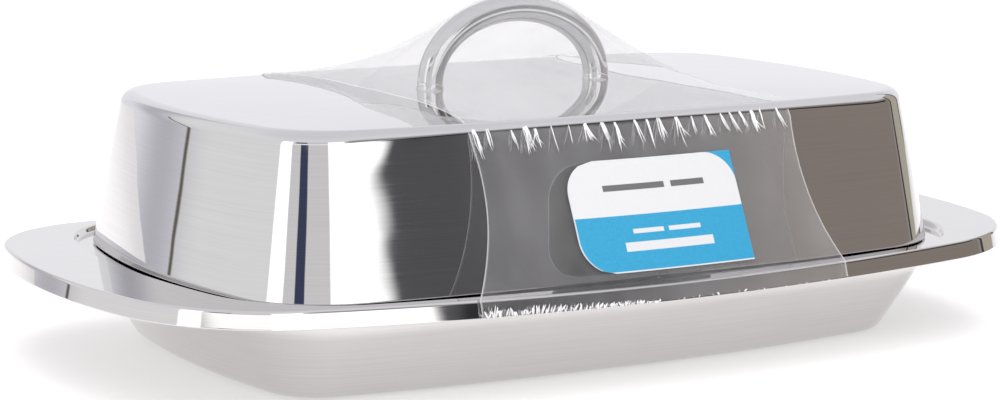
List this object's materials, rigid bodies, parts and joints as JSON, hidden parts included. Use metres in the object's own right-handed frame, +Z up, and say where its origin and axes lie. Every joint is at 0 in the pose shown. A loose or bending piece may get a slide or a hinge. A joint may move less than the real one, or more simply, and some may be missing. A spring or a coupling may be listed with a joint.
{
  "type": "butter dish",
  "caption": "Oval-rimmed steel butter tray with a lift-off domed cover, a wire loop handle and a clear film band that carries a blank label.",
  "frame": {"origin": "middle of the tray's flat underside, on the surface it stands on", "axes": "+X along the dish's length, +Z up, -Y towards the side with the label"},
  "size_m": [0.1868, 0.1102, 0.0635],
  "materials": {
    "tray_steel": "mirror-polished stainless steel sheet",
    "lid_steel": "mirror-polished stainless steel sheet with a fine lengthwise polish grain",
    "handle_steel": "polished stainless steel wire",
    "clear_film": "clear glossy shrink film with whitened torn edges",
    "label_print": "semi-gloss printed sticker, white above and sky blue below, with no lettering"
  },
  "bodies": {
    "tray": {"tray": "tray_steel"},
    "lid": {"lid_shell": "lid_steel", "lid_handle": "handle_steel"},
    "film": {"film_cover": "clear_film", "film_label": "label_print"}
  },
  "joints": [
    {"name": "lid_lift", "type": "slide", "parent": "tray", "child": "lid", "axis": [0, 0, 1], "range_m": [0, 0.07]},
    {"name": "film_lift", "type": "slide", "parent": "lid", "child": "film", "axis": [0, 0, 1], "range_m": [0, 0.06]}
  ]
}
